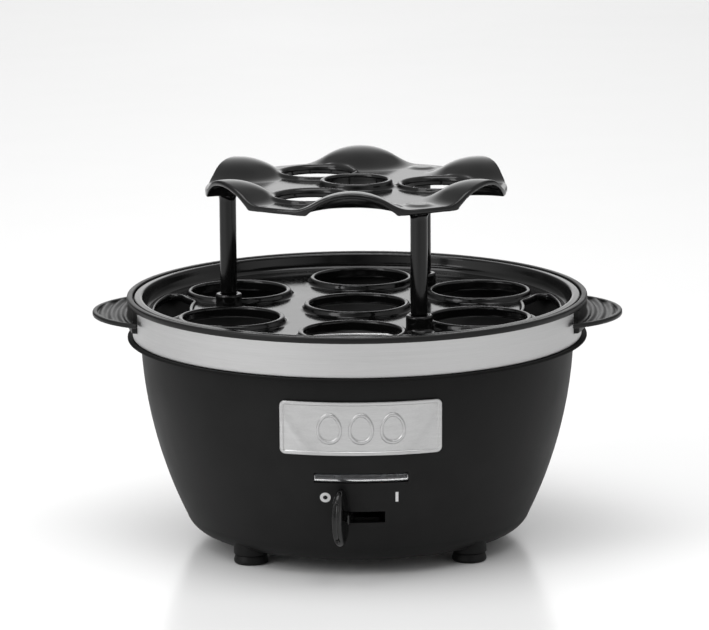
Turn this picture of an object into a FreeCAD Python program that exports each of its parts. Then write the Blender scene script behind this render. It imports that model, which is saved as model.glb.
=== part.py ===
import FreeCAD, Part

import math
import os
from collections import namedtuple
from types import SimpleNamespace

import Sketcher

# Electric egg cooker: a round housing with a steel band, a rim with two handles,
# a heated water dish inside, and two lift-out egg trays stacked above it.
# Millimetres, +Z up, origin at the middle of the footprint on the surface it stands on,
# -Y is the front (badge, indicator and lever), +X is the right handle.

DIMENSIONS = (
    ("rim_radius", 82.5, "outside of the top collar"),
    ("rim_top", 89.3, "top of the top collar"),
    ("handle_reach", 95.05, "handle tip from the middle"),
    ("base_height", 4.5, "underside of the housing above the table"),
    ("flat_radius", 54.0, "flat underside of the housing"),
    ("base_curve", 8.5, "rounding from underside to side"),
    ("side_low_radius", 62.1, "bottom of the side"),
    ("side_low_height", 10.4, "bottom of the side"),
    ("side_top_radius", 77.7, "top of the side, under the lip"),
    ("side_curve", 159.0, "bulge of the side"),
    ("lip_low", 73.85, "underside of the lip"),
    ("lip_top", 74.75, "top of the lip"),
    ("lip_radius", 82.4, "edge of the lip"),
    ("wall", 2.4, "housing wall"),
    ("floor_top", 8.5, "inside floor of the housing"),
    ("neck_radius", 79.7, "outside of the neck behind the band"),
    ("neck_wall", 2.5, "wall of the neck"),
    ("neck_top", 81.0, "top of the neck"),
    ("ledge_height", 80.4, "ledge that carries the chamber liner"),
    ("opening_radius", 42.0, "service opening in the housing floor"),
    ("cover_seat", 6.1, "face that the base cover closes against"),
    ("cover_radius", 48.0, "base cover"),
    ("gap", 0.3, "free gap between parts that move or lie side by side"),
    ("fit_gap", 0.05, "running gap on a pin, and a glued gap"),
    ("band_thickness", 0.65, "steel of the trim band"),
    ("overhang", 87.2, "underside of the collar over the band"),
    ("collar_inner", 80.4, "inside edge of the collar top"),
    ("handle_curve", 32.0, "plan radius of a handle tab"),
    ("handle_low", 81.6, "underside of a handle tab"),
    ("handle_top", 83.7, "top of a handle tab"),
    ("skirt_half", 22.3, "half width of the handle root"),
    ("skirt_low", 78.6, "bottom of the handle root"),
    ("rib_pitch", 3.3, "grip ribs on a handle"),
    ("foot_radius", 6.1, "rubber foot"),
    ("foot_place", 38.6, "foot from the middle, along X and along Y"),
    ("foot_height", 3.4, "rubber below the housing's foot boss"),
    ("cup_radius", 17.0, "cup hole in the lower tray"),
    ("cup_circle", 50.5, "six outer cups of the lower tray"),
    ("tray_turn", -2.6, "how far the collar and its trays are turned on the housing, degrees"),
    ("tray_lift", 81.9, "underside of the lower tray"),
    ("tray_skin", 1.6, "lower tray plate"),
    ("tray_rim_radius", 79.9, "rim of the lower tray"),
    ("tray_rim_top", 89.0, "rim of the lower tray"),
    ("upper_radius", 54.0, "upper tray"),
    ("upper_floor", 126.0, "underside of the upper tray"),
    ("upper_skin", 1.9, "upper tray plate"),
    ("arch_centre", 110.0, "height of the middle of an arch's sphere"),
    ("arch_radius", 24.4, "outside of an arch"),
    ("arch_skin", 1.8, "thickness of an arch"),
    ("egg_radius", 22.8, "room for an egg of medium size"),
    ("nest_circle", 29.4, "three cups of the upper tray"),
    ("nest_radius", 12.5, "cup hole in the upper tray"),
    ("leg_circle", 46.0, "legs of the upper tray"),
    ("leg_radius", 2.9, "leg of the upper tray"),
    ("plate_radius", 62.4, "rim of the heating plate"),
    ("plate_rim", 62.0, "underside of the heating plate's rim"),
    ("plate_floor", 56.0, "underside of the heating plate's floor"),
    ("plate_skin", 0.8, "steel of the heating plate"),
    ("spreader_radius", 47.0, "aluminium heat spreader"),
    ("element_radius", 36.0, "heating element ring"),
    ("element_tube", 3.3, "heating element tube"),
    ("badge_width", 56.0, "badge"),
    ("badge_low", 46.5, "bottom of the badge"),
    ("badge_tall", 19.5, "height of the badge"),
    ("badge_skin", 0.9, "thickness of the badge"),
    ("lens_width", 32.4, "indicator lens"),
    ("lens_middle", 37.8, "height of the indicator lens"),
    ("lens_tall", 3.4, "height of the indicator lens"),
    ("mark_place", 12.4, "off and on marks from the middle"),
    ("mark_height", 30.5, "off and on marks"),
    ("lever_height", 23.1, "middle of the lever's stem and slot"),
    ("lever_pivot", 50.0, "lever pivot in front of the middle"),
    ("lever_reach", 32.0, "paddle edge from the pivot"),
    ("paddle_back", 20.3, "back of the paddle from the pivot"),
    ("lever_rest", -17.0, "lever angle at off, degrees"),
    ("paddle_half", 10.2, "half height of the paddle"),
    ("paddle_depth", 7.6, "depth of the paddle's bowed front"),
    ("paddle_curve", 10.7, "curve of the paddle's bowed front"),
    ("paddle_thick", 3.9, "thickness of the paddle"),
    ("slot_width", 16.6, "lever slot"),
    ("slot_tall", 4.4, "lever slot"),
    ("pin_radius", 2.0, "lever pivot pin"),
    ("gland_height", 18.0, "cord gland at the back"),
    ("gland_face", 69.2, "flat face behind the housing that the gland seats on"),
    ("gland_bore", 3.6, "cord hole in the gland"),
    ("gland_radius", 7.0, "body of the cord gland"),
    ("screw_radius", 1.25, "small self-tapping screws"),
    ("screw_head", 2.6, "heads of the small screws"),
    ("cover_screws", 45.0, "base cover screws from the middle"),
    ("strap_screws", 64.0, "retaining strap screws from the middle"),
    ("strap_top", 44.4, "top of the retaining strap"),
    ("socket_top", 89.0, "top of a leg socket on the lower tray"),
    ("slider_arm", 10.0, "switch slider post behind the lever pivot"),
    ("slider_start", 3.06, "slider at off, to the right of the middle"),
)

COVER_ANGLES = (45, 135, 225, 315)
BRACKET_POSTS = ((-16, -49), (16, -49))
CLAMP_ANGLES = (-90, -25, 205)
CUP_ANGLES = (-90, -30, 30, 90, 150, 210)
NEST_ANGLES = (0, 120, 240)
LEG_ANGLES = (-60, 60, 180)
GRIP_ANGLES = (0, 180)

doc = FreeCAD.newDocument("EggCooker")


class Size:
    """A size that knows its number and the spreadsheet expression behind it."""

    def __init__(self, number, text):
        self.number = number
        self.text = text

    def _with(self, sign, other):
        other = size(other)
        numbers = {
            "+": lambda a, b: a + b,
            "-": lambda a, b: a - b,
            "*": lambda a, b: a * b,
            "/": lambda a, b: a / b,
        }
        number = numbers[sign](self.number, other.number)
        return Size(number, f"({self.text} {sign} {other.text})")

    def __add__(self, other):
        return self._with("+", other)

    def __sub__(self, other):
        return self._with("-", other)

    def __mul__(self, other):
        return self._with("*", other)

    def __truediv__(self, other):
        return self._with("/", other)

    def __radd__(self, other):
        return size(other) + self

    def __rsub__(self, other):
        return size(other) - self

    def __rmul__(self, other):
        return size(other) * self

    def __neg__(self):
        return size(-1) * self


def size(value):
    """A plain number as a Size; a Size stays as it is."""
    if isinstance(value, Size):
        return value
    return Size(float(value), f"({float(value)!r})")


def make_sheet():
    """Write the driving dimensions to the sheet and return them by name."""
    sheet = doc.addObject("Spreadsheet::Sheet", "dims")
    names = SimpleNamespace()
    for row, (alias, value, note) in enumerate(DIMENSIONS, start=1):
        sheet.set(f"A{row}", alias)
        sheet.set(f"B{row}", str(value))
        sheet.set(f"C{row}", note)
        sheet.setAlias(f"B{row}", alias)
        setattr(names, alias, Size(value, f"dims.{alias}"))
    doc.recompute()
    return names


d = make_sheet()
NODES = []
Corner = namedtuple("Corner", "x y round curve", defaults=(0, 0))


# Building blocks ------------------------------------------------------------------------


def bind(item, prop, value):
    """Tie one property of a document object to the sheet."""
    item.setExpression(prop, size(value).text)


def polar(radius, angle):
    """Point on a circle about the Z axis, with its expressions."""
    radius = size(radius)
    angle = size(angle)
    turn = math.radians(angle.number)
    x = Size(radius.number * math.cos(turn), f"({radius.text} * cos({angle.text} * 1 deg))")
    y = Size(radius.number * math.sin(turn), f"({radius.text} * sin({angle.text} * 1 deg))")
    return x, y


def place(item, at, turn=0):
    """Put an object at a bound place, turned about Z."""
    for axis, value in zip("xyz", at):
        bind(item, f"Placement.Base.{axis}", value)
    if size(turn).number:
        item.setExpression("Placement.Rotation.Angle", f"{size(turn).text} * 1 deg")


def primitive(kind, name, at, turn=0, **sizes):
    """A Part primitive with bound sizes and place."""
    item = doc.addObject("Part::" + kind, name)
    for prop, value in sizes.items():
        bind(item, prop, value)
    place(item, at, turn)
    return item


def rod(name, radius, low, high, at=(0, 0), turn=0):
    """Upright cylinder from one height to another."""
    low = size(low)
    return primitive("Cylinder", name, (*at, low), turn, Radius=radius, Height=high - low)


def sector(name, radius, low, high, middle, half_angle):
    """Pie slice of an upright cylinder, centred on an angle."""
    item = rod(name, radius, low, high, turn=middle - half_angle)
    item.Angle = 2 * half_angle
    return item


def rod_along_y(name, radius, x, z, start, end):
    """Cylinder that lies front to back, with start behind end."""
    start = size(start)
    item = primitive("Cylinder", name, (x, start, z), Radius=radius, Height=start - end)
    item.Placement.Rotation = FreeCAD.Rotation(FreeCAD.Vector(1, 0, 0), 90)
    return item


def rod_along_x(name, radius, y, z, start, end):
    """Cylinder that lies left to right."""
    start = size(start)
    item = primitive("Cylinder", name, (start, y, z), Radius=radius, Height=end - start)
    item.Placement.Rotation = FreeCAD.Rotation(FreeCAD.Vector(0, 1, 0), 90)
    return item


def block(name, middle, lengths):
    """Box centred on a point."""
    low = [size(m) - size(length) / 2 for m, length in zip(middle, lengths)]
    return primitive(
        "Box", name, low, Length=lengths[0], Width=lengths[1], Height=lengths[2]
    )


def ball(name, radius, at):
    return primitive("Sphere", name, at, Radius=radius)


def tube(name, outer, inner, low, high, at=(0, 0)):
    """Upright ring."""
    low = size(low)
    high = size(high)
    core = rod(name + "_core", inner, low - 1, high + 1, at)
    return cut(name, rod(name + "_outer", outer, low, high, at), core)


def fuse(name, *items):
    joined = doc.addObject("Part::MultiFuse", name)
    joined.Shapes = list(items)
    joined.Refine = True
    return joined


def cut(name, base, *tools):
    removed = doc.addObject("Part::Cut", name)
    removed.Base = base
    removed.Tool = tools[0] if len(tools) == 1 else fuse(name + "_tools", *tools)
    removed.Refine = True
    return removed


def common(name, first, second):
    shared = doc.addObject("Part::Common", name)
    shared.Base = first
    shared.Tool = second
    shared.Refine = True
    return shared


def turned(name, item, turn):
    """A copy of an object, turned about the Z axis of the cooker."""
    copy = doc.addObject("Part::Compound", name)
    copy.Links = [item]
    place(copy, (0, 0, 0), turn)
    return copy


def origin_plane(body, role):
    for feature in body.Origin.OriginFeatures:
        if feature.Role == role:
            return feature


def outline(body, name, corners, plane="XZ_Plane"):
    """Closed sketch through bound corners, with curved edges and rounded corners."""
    sketch = body.newObject("Sketcher::SketchObject", name)
    sketch.AttachmentSupport = [(origin_plane(body, plane), "")]
    sketch.MapMode = "FlatFace"
    count = len(corners)
    starts = []
    ends = []
    for index, corner in enumerate(corners):
        after = corners[(index + 1) % count]
        edge, start, end = edge_between(corner, after)
        sketch.addGeometry(edge, False)
        starts.append(start)
        ends.append(end)
    for index, corner in enumerate(corners):
        after = (index + 1) % count
        sketch.addConstraint(
            Sketcher.Constraint("Coincident", index, ends[index], after, starts[after])
        )
        for kind, value in (("DistanceX", corner.x), ("DistanceY", corner.y)):
            number = size(value).number
            rule = Sketcher.Constraint(kind, -1, 1, index, starts[index], number)
            bind(sketch, f"Constraints[{sketch.addConstraint(rule)}]", value)
        if size(corner.curve).number:
            radius = abs(size(corner.curve).number)
            rule = Sketcher.Constraint("Radius", index, radius)
            curve = f"abs({size(corner.curve).text})"
            sketch.setExpression(f"Constraints[{sketch.addConstraint(rule)}]", curve)
    for index, corner in enumerate(corners):
        if size(corner.round).number:
            arc = sketch.GeometryCount
            radius = size(corner.round).number
            sketch.fillet(index, starts[index], radius, True, True)
            rule = Sketcher.Constraint("Radius", arc, radius)
            bind(sketch, f"Constraints[{sketch.addConstraint(rule)}]", corner.round)
    return sketch


def edge_between(corner, after):
    """Line, or arc whose centre is on the left for a positive curve, and its end numbers."""
    first = FreeCAD.Vector(size(corner.x).number, size(corner.y).number, 0)
    last = FreeCAD.Vector(size(after.x).number, size(after.y).number, 0)
    curve = size(corner.curve).number
    if not curve:
        return Part.LineSegment(first, last), 1, 2
    chord = last - first
    left = FreeCAD.Vector(-chord.y, chord.x, 0).normalize()
    rise = math.sqrt(curve ** 2 - chord.Length ** 2 / 4)
    centre = first + chord / 2 + left * math.copysign(rise, curve)
    begin, finish = (first, last) if curve > 0 else (last, first)
    angles = [math.atan2(p.y - centre.y, p.x - centre.x) for p in (begin, finish)]
    circle = Part.Circle(centre, FreeCAD.Vector(0, 0, 1), abs(curve))
    arc = Part.ArcOfCircle(circle, *angles)
    return (arc, 1, 2) if curve > 0 else (arc, 2, 1)


def revolved(name, corners, plane="XZ_Plane"):
    """Body made by turning an outline of radius and height about the Z axis."""
    body = doc.addObject("PartDesign::Body", name)
    sketch = outline(body, name + "_outline", corners, plane)
    spin = body.newObject("PartDesign::Revolution", name + "_spin")
    spin.Profile = sketch
    spin.ReferenceAxis = (sketch, ["V_Axis"])
    spin.Angle = 360
    return body


def plate(name, corners, plane, offset, thickness):
    """Body made by padding an outline that stands off an origin plane."""
    body = doc.addObject("PartDesign::Body", name)
    sketch = outline(body, name + "_outline", corners, plane)
    bind(sketch, "AttachmentOffset.Base.z", offset)
    pad = body.newObject("PartDesign::Pad", name + "_pad")
    pad.Profile = sketch
    bind(pad, "Length", thickness)
    return body


def rectangle(x, y, width, height, rounding=0):
    """Four corners of a rectangle round a middle point."""
    left = x - width / 2
    right = x + width / 2
    low = y - height / 2
    high = y + height / 2
    return [
        Corner(left, low, rounding),
        Corner(right, low, rounding),
        Corner(right, high, rounding),
        Corner(left, high, rounding),
    ]


def node(name, item):
    """Hand an object in as one named piece of the cooker."""
    item.Label = name
    NODES.append(item)
    return item


def side_radius(height, offset=0):
    """Radius of the housing's side at a height, plus an offset, as a plain number."""
    low = (d.side_low_radius.number, d.side_low_height.number)
    top = (d.side_top_radius.number, d.lip_low.number)
    chord = (top[0] - low[0], top[1] - low[1])
    length = math.hypot(*chord)
    rise = math.sqrt(d.side_curve.number ** 2 - length ** 2 / 4)
    centre_x = (low[0] + top[0]) / 2 - chord[1] / length * rise
    centre_z = (low[1] + top[1]) / 2 + chord[0] / length * rise
    reach = math.sqrt(d.side_curve.number ** 2 - (height - centre_z) ** 2)
    return centre_x + reach + offset


def side_skin(name, low, high, inner, outer):
    """Ring that follows the housing's side between two offsets from its surface."""
    low = size(low)
    high = size(high)
    corners = [
        Corner(side_radius(low.number, inner), low),
        Corner(side_radius(low.number, outer), low, 0, d.side_curve + outer),
        Corner(side_radius(high.number, outer), high),
        Corner(side_radius(high.number, inner), high, 0, -(d.side_curve + inner)),
    ]
    return revolved(name, corners)


# Housing --------------------------------------------------------------------------------


def make_housing():
    """Bowl with a lip, a neck for the band, foot bosses and all its openings."""
    inner_top = d.side_top_radius - d.wall
    inner_low = d.side_low_radius - d.wall
    neck_inner = d.neck_radius - d.neck_wall
    bowl = revolved(
        "housing_bowl",
        [
            Corner(d.opening_radius, d.cover_seat),
            Corner(d.cover_radius + d.gap, d.cover_seat),
            Corner(d.cover_radius + d.gap, d.base_height),
            Corner(d.flat_radius, d.base_height, 0, d.base_curve),
            Corner(d.side_low_radius, d.side_low_height, 0, d.side_curve),
            Corner(d.side_top_radius, d.lip_low),
            Corner(d.lip_radius, d.lip_low, 0.3),
            Corner(d.lip_radius, d.lip_top, 0.3),
            Corner(d.neck_radius, d.lip_top),
            Corner(d.neck_radius, d.neck_top),
            Corner(neck_inner, d.neck_top),
            Corner(neck_inner, d.ledge_height),
            Corner(inner_top, d.ledge_height),
            Corner(inner_top, d.lip_low, 0, -(d.side_curve - d.wall)),
            Corner(inner_low, d.side_low_height + 2),
            Corner(inner_low - 5.5, d.floor_top),
            Corner(d.opening_radius, d.floor_top),
        ],
    )
    extra = []
    holes = []
    for x_sign in (-1, 1):
        for y_sign in (-1, 1):
            at = (x_sign * d.foot_place, y_sign * d.foot_place)
            tag = f"foot_boss_{x_sign + 1}{y_sign + 1}"
            extra.append(rod(tag, d.foot_radius, d.foot_height, d.floor_top, at))
            holes.append(rod(tag + "_hole", 3.0, d.foot_height - 1, 8.0, at))
    for angle in COVER_ANGLES:
        at = polar(d.cover_screws, angle)
        extra.append(rod(f"cover_boss_{angle}", 3.2, d.cover_seat, 15, at))
        holes.append(rod(f"cover_boss_{angle}_hole", d.screw_radius, d.cover_seat - 1, 14, at))
    extra.append(
        rod_along_y("gland_boss", d.gland_radius + 2.4, 0, d.gland_height, d.gland_face, 59.0)
    )
    holes.append(
        rod_along_y("gland_hole", d.gland_radius, 0, d.gland_height, 72, 56)
    )
    holes.append(
        block("lever_slot", (0, -67, d.lever_height - 0.25), (d.slot_width, 14, d.slot_tall))
    )
    lens_room = d.lens_tall + 0.2
    holes.append(
        block("lens_slot", (0, -72, d.lens_middle), (d.lens_width + 0.2, 12, lens_room))
    )
    for index, at in enumerate(BRACKET_POSTS):
        extra.append(block(f"bracket_post_{index}", (*at, 9.3), (7, 7, 2.2)))
        holes.append(rod(f"bracket_post_hole_{index}", d.screw_radius, 6.9, 12, at))
    joined = fuse("housing_joined", bowl, *extra)
    node("housing_shell", cut("housing_cut", joined, *holes))


def make_band():
    """Brushed steel ring round the neck, notched for the two handle roots."""
    ring = revolved(
        "band_ring",
        [
            Corner(d.neck_radius + 0.15, d.lip_top + 0.1),
            Corner(d.neck_radius + 0.15 + d.band_thickness, d.lip_top + 0.1, 0.2),
            Corner(d.neck_radius + 0.15 + d.band_thickness, d.overhang - 0.1),
            Corner(d.neck_radius + 0.15, d.overhang - 0.1),
        ],
        "YZ_Plane",
    )
    notches = []
    for x_sign in (-1, 1):
        middle = (x_sign * 80, 0, d.skirt_low + 9.8)
        lengths = (30, 2 * d.skirt_half + 2 * d.gap, 20)
        notches.append(block(f"band_notch_{x_sign + 1}", middle, lengths))
    band = cut("band_cut", ring, *notches)
    place(band, (0, 0, 0), d.tray_turn)
    node("trim_band", band)


def make_collar():
    """Rim ring over the band, with a ribbed handle tab on each side."""
    ring = revolved(
        "collar_ring",
        [
            Corner(d.neck_radius + 0.05, d.neck_top),
            Corner(d.neck_radius + 0.05, d.overhang),
            Corner(d.rim_radius, d.overhang, 0.3),
            Corner(d.rim_radius, d.rim_top, 0.6),
            Corner(d.collar_inner, d.rim_top, 0.4),
            Corner(d.collar_inner - 0.1, d.rim_top - 0.9),
            Corner(d.collar_inner - 1.8, d.overhang),
            Corner(d.collar_inner - 1.8, d.neck_top),
        ],
        "YZ_Plane",
    )
    pieces = [ring]
    for side in (-1, 1):
        pieces.append(make_tab(f"tab_{side + 1}", side))
        root = revolved(
            f"root_ring_{side + 1}",
            [
                Corner(d.neck_radius + 0.1, d.skirt_low),
                Corner(d.rim_radius - 0.9, d.skirt_low),
                Corner(d.rim_radius - 0.2, d.skirt_low + 0.7),
                Corner(d.rim_radius - 0.2, d.overhang + 0.2),
                Corner(d.neck_radius + 0.1, d.overhang + 0.2),
            ],
            "YZ_Plane",
        )
        middle = (side * 80, 0, d.skirt_low + 5)
        window = block(f"root_window_{side + 1}", middle, (30, 2 * d.skirt_half, 20))
        pieces.append(common(f"root_{side + 1}", root, window))
    collar = fuse("collar_joined", *pieces)
    place(collar, (0, 0, 0), d.tray_turn)
    node("top_collar", collar)


def make_tab(name, side):
    """Handle tab: a disc with a raised border, cut at the rim, with curved grip ribs."""
    middle = side * (d.handle_reach - d.handle_curve)
    disc = revolved(
        name + "_disc",
        [
            Corner(0, d.handle_low),
            Corner(d.handle_curve, d.handle_low, 0.7),
            Corner(d.handle_curve, d.handle_top + 0.3, 0.6),
            Corner(d.handle_curve - 1.7, d.handle_top + 0.3, 0.4),
            Corner(d.handle_curve - 2.3, d.handle_top - 0.4),
            Corner(0, d.handle_top - 0.4),
        ],
    )
    place(disc, (middle, 0, 0))
    tab = cut(name + "_cut", disc, rod(name + "_inside", d.rim_radius - 0.5, 70, 95))
    reach = rod(name + "_reach", d.handle_curve - 2, 70, 95, (middle, 0))
    ribs = []
    for rib in range(4):
        start = d.rim_radius + 0.6 + rib * d.rib_pitch
        ring = revolved(
            f"{name}_rib_{rib}",
            [
                Corner(start, d.handle_top - 0.6),
                Corner(start + 2.2, d.handle_top - 0.6),
                Corner(start + 1.5, d.handle_top + 0.2),
                Corner(start + 0.7, d.handle_top + 0.2),
            ],
            "YZ_Plane",
        )
        ribs.append(common(f"{name}_grip_{rib}", ring, reach))
    return fuse(name, tab, *ribs)


# Steam chamber and heater ----------------------------------------------------------------


def make_chamber():
    """Plastic funnel from the rim ledge down to the heating plate, with strap bosses."""
    seat = d.plate_rim - 1
    funnel = revolved(
        "liner_funnel",
        [
            Corner(d.plate_radius - 4.4, seat - 2),
            Corner(d.plate_radius + 2.6, seat - 2, 0.8),
            Corner(d.side_top_radius - 2.5, d.ledge_height - 1.2),
            Corner(d.side_top_radius - 2.5, d.ledge_height),
            Corner(d.neck_radius - 2.7, d.ledge_height),
            Corner(d.neck_radius - 2.7, d.ledge_height + 1.2, 0.3),
            Corner(d.neck_radius - 6.6, d.ledge_height + 1.2, 0.8),
            Corner(d.plate_radius + 1, seat, 0.8),
            Corner(d.plate_radius - 4.4, seat),
        ],
    )
    bosses = []
    holes = []
    for side in (-1, 1):
        at = (side * d.strap_screws, 0)
        bosses.append(rod(f"liner_boss_{side + 1}", 3.6, 47.6, seat - 1, at))
        holes.append(rod(f"liner_boss_hole_{side + 1}", d.screw_radius, 46, 57, at))
    joined = fuse("liner_joined", funnel, *bosses)
    node("chamber_liner", cut("liner_cut", joined, *holes))
    gasket = tube(
        "gasket_ring", d.plate_radius - 0.2, d.plate_radius - 3.6, seat, d.plate_rim
    )
    node("plate_gasket", gasket)


def make_heater():
    """Steel water dish with its spreader, C-shaped element, strap, thermostat and fuse."""
    inner = d.plate_radius - 6.2
    dish = revolved(
        "heating_dish",
        [
            Corner(0, d.plate_floor),
            Corner(inner, d.plate_floor, 1.8),
            Corner(d.plate_radius - 4.9, d.plate_rim, 1.0),
            Corner(d.plate_radius, d.plate_rim),
            Corner(d.plate_radius, d.plate_rim + d.plate_skin, 0.3),
            Corner(d.plate_radius - 5.5, d.plate_rim + d.plate_skin, 1.2),
            Corner(inner - 0.7, d.plate_floor + d.plate_skin, 1.2),
            Corner(0, d.plate_floor + d.plate_skin),
        ],
    )
    node("heating_plate", dish)
    spreader_low = d.plate_floor - 3.2
    disc = rod("spreader_disc", d.spreader_radius, spreader_low, d.plate_floor)
    places = [polar(d.element_radius - 5.6, angle) for angle in CLAMP_ANGLES]
    places += [(side * 13, 0) for side in (-1, 1)]
    blind = [
        rod(f"spreader_hole_{index}", d.screw_radius, spreader_low - 1, spreader_low + 2.2, at)
        for index, at in enumerate(places)
    ]
    node("heat_spreader", cut("spreader_cut", disc, *blind))

    centre = spreader_low - d.element_tube
    bow = primitive(
        "Torus", "element_bow", (0, 0, centre), 120,
        Radius1=d.element_radius, Radius2=d.element_tube,
    )
    bow.Angle3 = 300
    parts = [bow]
    ends = []
    for index, angle in enumerate((60, 120)):
        at = polar(d.element_radius, angle)
        parts.append(ball(f"element_elbow_{index}", d.element_tube, (*at, centre)))
        parts.append(rod(f"element_leg_{index}", d.element_tube, 41, centre, at))
        collar = rod(f"element_bead_{index}", 2.6, 38.6, 41, at)
        blade = block(f"element_blade_{index}", (*at, 35.1), (6.3, 0.8, 7))
        ends.append(fuse(f"element_end_{index}", collar, blade))
    node("heating_element", fuse("element_joined", *parts))
    group("element_terminals", ends)
    make_clamps(spreader_low)
    make_strap(spreader_low)


def make_clamps(spreader_low):
    """Three cast saddles that hold the element to the spreader, each with one screw."""
    centre = spreader_low - d.element_tube
    low = centre - 4.6
    tunnel = primitive(
        "Torus", "clamp_tunnel", (0, 0, centre),
        Radius1=d.element_radius, Radius2=d.element_tube + d.fit_gap,
    )
    screw_place = d.element_radius - 5.6
    hole = rod("clamp_hole", d.screw_radius + 0.1, low - 1, spreader_low + 1, (screw_place, 0))
    body = primitive(
        "Box", "clamp_body", (d.element_radius - 7.8, -3.5, low),
        Length=13, Width=7, Height=spreader_low - low,
    )
    saddle = cut("clamp_saddle", body, tunnel, hole)
    fixing = screw("clamp_fixing", (screw_place, 0), low, spreader_low + 2)
    saddles = []
    fixings = []
    for index, angle in enumerate(CLAMP_ANGLES):
        saddles.append(turned(f"saddle_{index}", saddle, angle))
        fixings.append(turned(f"saddle_screw_{index}", fixing, angle))
    group("element_clamps", saddles)
    group("clamp_screws", fixings)


def screw(name, at, head_top, tip):
    """Self-tapping screw that points up, with its head under a face."""
    head_top = size(head_top)
    shank = rod(name + "_shank", d.screw_radius, head_top, tip, at)
    head = rod(name + "_head", d.screw_head, head_top - 1.6, head_top, at)
    drive = block(name + "_drive", (*at, head_top - 1.6), (3.6, 0.7, 1.2))
    return cut(name, fuse(name + "_joined", shank, head), drive)


def make_strap(spreader_low):
    """Steel strap that pulls the heater down, the thermostat under the dish, and the fuse."""
    strap_top = d.strap_top
    ends = [(side * d.strap_screws, 0) for side in (-1, 1)]
    bar = block("strap_bar", (0, 0, strap_top - 0.8), (2 * d.strap_screws + 12, 13, 1.6))
    ribs = [block(f"strap_rib_{y}", (0, y, strap_top - 2.6), (96, 1.4, 2.4)) for y in (-5.8, 5.8)]
    openings = [rod("strap_window", 4.2, strap_top - 5, strap_top + 5)]
    screws = []
    for index, at in enumerate(ends):
        openings.append(rod(f"strap_hole_{index}", d.screw_radius + 0.1, 35, 50, at))
        screws.append(screw(f"strap_screw_{index}", at, strap_top - 1.6, 56))
    node("retaining_strap", cut("strap_cut", fuse("strap_joined", bar, *ribs), *openings))
    group("strap_screws", screws)

    shelf = spreader_low - 2.6
    case = rod("thermostat_case", 8.2, strap_top, shelf)
    cap = rod("thermostat_cap", 6.4, shelf, spreader_low)
    blades = [
        block(f"thermostat_blade_{y}", (0, y, strap_top + 2.2), (6.3, 7, 0.8)) for y in (-11, 11)
    ]
    node("thermostat", fuse("thermostat_joined", case, cap, *blades))
    flange = block("bracket_flange", (0, 0, spreader_low - 0.4), (34, 16, 0.8))
    bracket_holes = [rod("bracket_window", 6.5, shelf - 1, spreader_low + 1)]
    for side in (-1, 1):
        bracket_holes.append(
            rod(f"bracket_hole_{side + 1}", d.screw_radius + 0.1, 40, 60, (side * 13, 0))
        )
    node("thermostat_bracket", cut("bracket_cut", flange, *bracket_holes))
    bracket_screws = [
        screw(f"bracket_screw_{side + 1}", (side * 13, 0), spreader_low - 0.8, spreader_low + 2)
        for side in (-1, 1)
    ]
    group("bracket_screws", bracket_screws)

    fuse_height = spreader_low - 3.2
    wire = rod_along_x("fuse_wire", 0.6, -20, fuse_height, -14, 14)
    capsule = rod_along_x("fuse_capsule", 2.0, -20, fuse_height, -6, 6)
    node("thermal_fuse", fuse("fuse_joined", wire, capsule))
    saddle = block("fuse_saddle", (0, -20, spreader_low - 2.8), (7, 5.6, 5.6))
    room = rod_along_x("fuse_room", 2.05, -20, fuse_height, -10, 10)
    node("fuse_clip", cut("fuse_clip_cut", saddle, room))


# Base -----------------------------------------------------------------------------------


def make_base():
    """Vented cover under the housing, its screws, and four rubber feet."""
    low = d.cover_seat - 1.5
    disc = revolved(
        "cover_disc",
        [
            Corner(0, low),
            Corner(d.cover_radius, low, 0.3),
            Corner(d.cover_radius, d.cover_seat),
            Corner(d.opening_radius - 1, d.cover_seat),
            Corner(d.opening_radius - 1, d.cover_seat + 1.6, 0.3),
            Corner(d.opening_radius - 2.8, d.cover_seat + 1.6),
            Corner(d.opening_radius - 2.8, d.cover_seat + 0.2),
            Corner(0, d.cover_seat + 0.2),
        ],
    )
    vents = []
    for index in range(16):
        angle = index * 22.5
        for ring, (inner, outer) in enumerate(((13, 21), (25, 35))):
            tag = f"vent_{index}_{ring}"
            slot = primitive(
                "Box", tag + "_slot", (inner, -1, low - 1), Length=outer - inner, Width=2, Height=4
            )
            vents.append(turned(tag, slot, angle))
    holes = []
    screws = []
    for index, angle in enumerate(COVER_ANGLES):
        at = polar(d.cover_screws, angle)
        holes.append(rod(f"cover_hole_{index}", d.screw_radius + 0.15, low - 1, 10, at))
        screws.append(screw(f"cover_screw_{index}", at, low, 13))
    joined = fuse("cover_vents", *vents)
    node("base_cover", cut("cover_cut", disc, joined, *holes))
    group("base_screws", screws)
    for x_sign, side in ((-1, "left"), (1, "right")):
        for y_sign, end in ((-1, "front"), (1, "rear")):
            make_foot(f"foot_{end}_{side}", (x_sign * d.foot_place, y_sign * d.foot_place))


def make_foot(name, at):
    """Rubber foot with a stem that plugs into its boss."""
    foot = revolved(
        name + "_body",
        [
            Corner(0, 0),
            Corner(d.foot_radius, 0, 0.7),
            Corner(d.foot_radius, d.foot_height, 0.3),
            Corner(2.95, d.foot_height),
            Corner(2.95, 7.6, 0.6),
            Corner(0, 7.6),
        ],
    )
    place(foot, (*at, 0))
    node(name, foot)


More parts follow.
